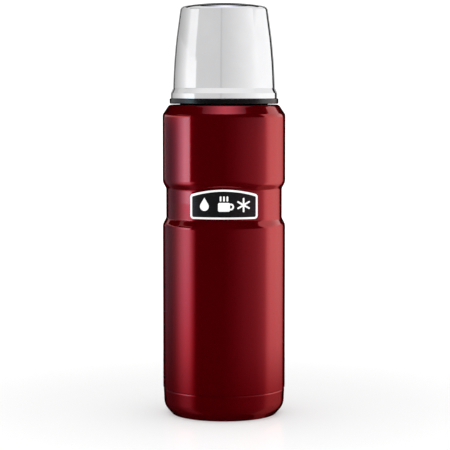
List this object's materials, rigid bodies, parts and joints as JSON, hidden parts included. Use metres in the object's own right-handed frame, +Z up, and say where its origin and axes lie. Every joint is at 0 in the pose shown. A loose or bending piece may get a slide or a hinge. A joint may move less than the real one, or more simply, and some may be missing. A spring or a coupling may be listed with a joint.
{
  "type": "vacuum flask",
  "caption": "Slim double-walled steel flask with a recessed band, a screw stopper and a screw-on drinking cup over it.",
  "frame": {"origin": "centre of the ring the flask stands on", "axes": "+Z up along the flask, -Y towards the badge at the front"},
  "size_m": [0.074, 0.074, 0.2474],
  "materials": {
    "red_paint": "candy red lacquer over steel, glossy",
    "polished_steel": "polished stainless steel",
    "inner_steel": "satin stainless steel",
    "copper_foil": null,
    "braze": "brazing alloy",
    "getter": "pressed getter metal, matt",
    "adhesive": "foam tape",
    "badge_black": "semi-gloss black",
    "badge_white": "white print",
    "black_plastic": "moulded, satin",
    "grey_plastic": "moulded, satin",
    "silicone": "translucent grey silicone",
    "foam": "expanded foam"
  },
  "bodies": {
    "bottle": {"outer_shell": "red_paint", "base_cup": "red_paint", "base_cover_disc": "black_plastic", "exhaust_seal": "braze", "getter_holder": "inner_steel", "getter_pellet": "getter", "inner_vessel": "inner_steel", "inner_vessel_bottom": "inner_steel", "radiation_shield": "copper_foil", "badge_adhesive": "adhesive", "badge_plate": "badge_black", "badge_rim": "badge_white", "badge_motif": "badge_white"},
    "stopper_seal": {"stopper_seal_ring": "silicone"},
    "stopper_gasket": {"stopper_main_gasket": "silicone"},
    "stopper": {"stopper_body": "black_plastic", "stopper_base_plug": "black_plastic", "stopper_foam": "foam", "stopper_cap": "grey_plastic"},
    "cup_seal": {"cup_seal_ring": "silicone"},
    "cup_gasket": {"cup_liner_gasket": "silicone"},
    "cup": {"cup_outer_shell": "polished_steel", "cup_inner_liner": "inner_steel", "cup_thread_ring": "black_plastic"}
  },
  "joints": [
    {"name": "stopper_lift_off", "type": "slide", "parent": "bottle", "child": "stopper_seal", "axis": [0, 0, 1], "range_m": [0, 0.06]},
    {"name": "stopper_thread_rise", "type": "slide", "parent": "stopper_seal", "child": "stopper_gasket", "axis": [0, 0, 1], "range_m": [0, 0.005]},
    {"name": "stopper_unscrew", "type": "hinge", "parent": "stopper_gasket", "child": "stopper", "pos_m": [0, 0, 0.19], "axis": [0, 0, 1], "range_deg": [0, 450]},
    {"name": "cup_lift_off", "type": "slide", "parent": "stopper_seal", "child": "cup_seal", "axis": [0, 0, 1], "range_m": [0, 0.06]},
    {"name": "cup_thread_rise", "type": "slide", "parent": "cup_seal", "child": "cup_gasket", "axis": [0, 0, 1], "range_m": [0, 0.005]},
    {"name": "cup_unscrew", "type": "hinge", "parent": "cup_gasket", "child": "cup", "pos_m": [0, 0, 0.19], "axis": [0, 0, 1], "range_deg": [0, 450]}
  ],
  "couplings": [
    {"joint": "stopper_thread_rise", "follows": "stopper_unscrew", "m_per_rad": 0.00063662},
    {"joint": "cup_thread_rise", "follows": "cup_unscrew", "m_per_rad": 0.00063662}
  ]
}
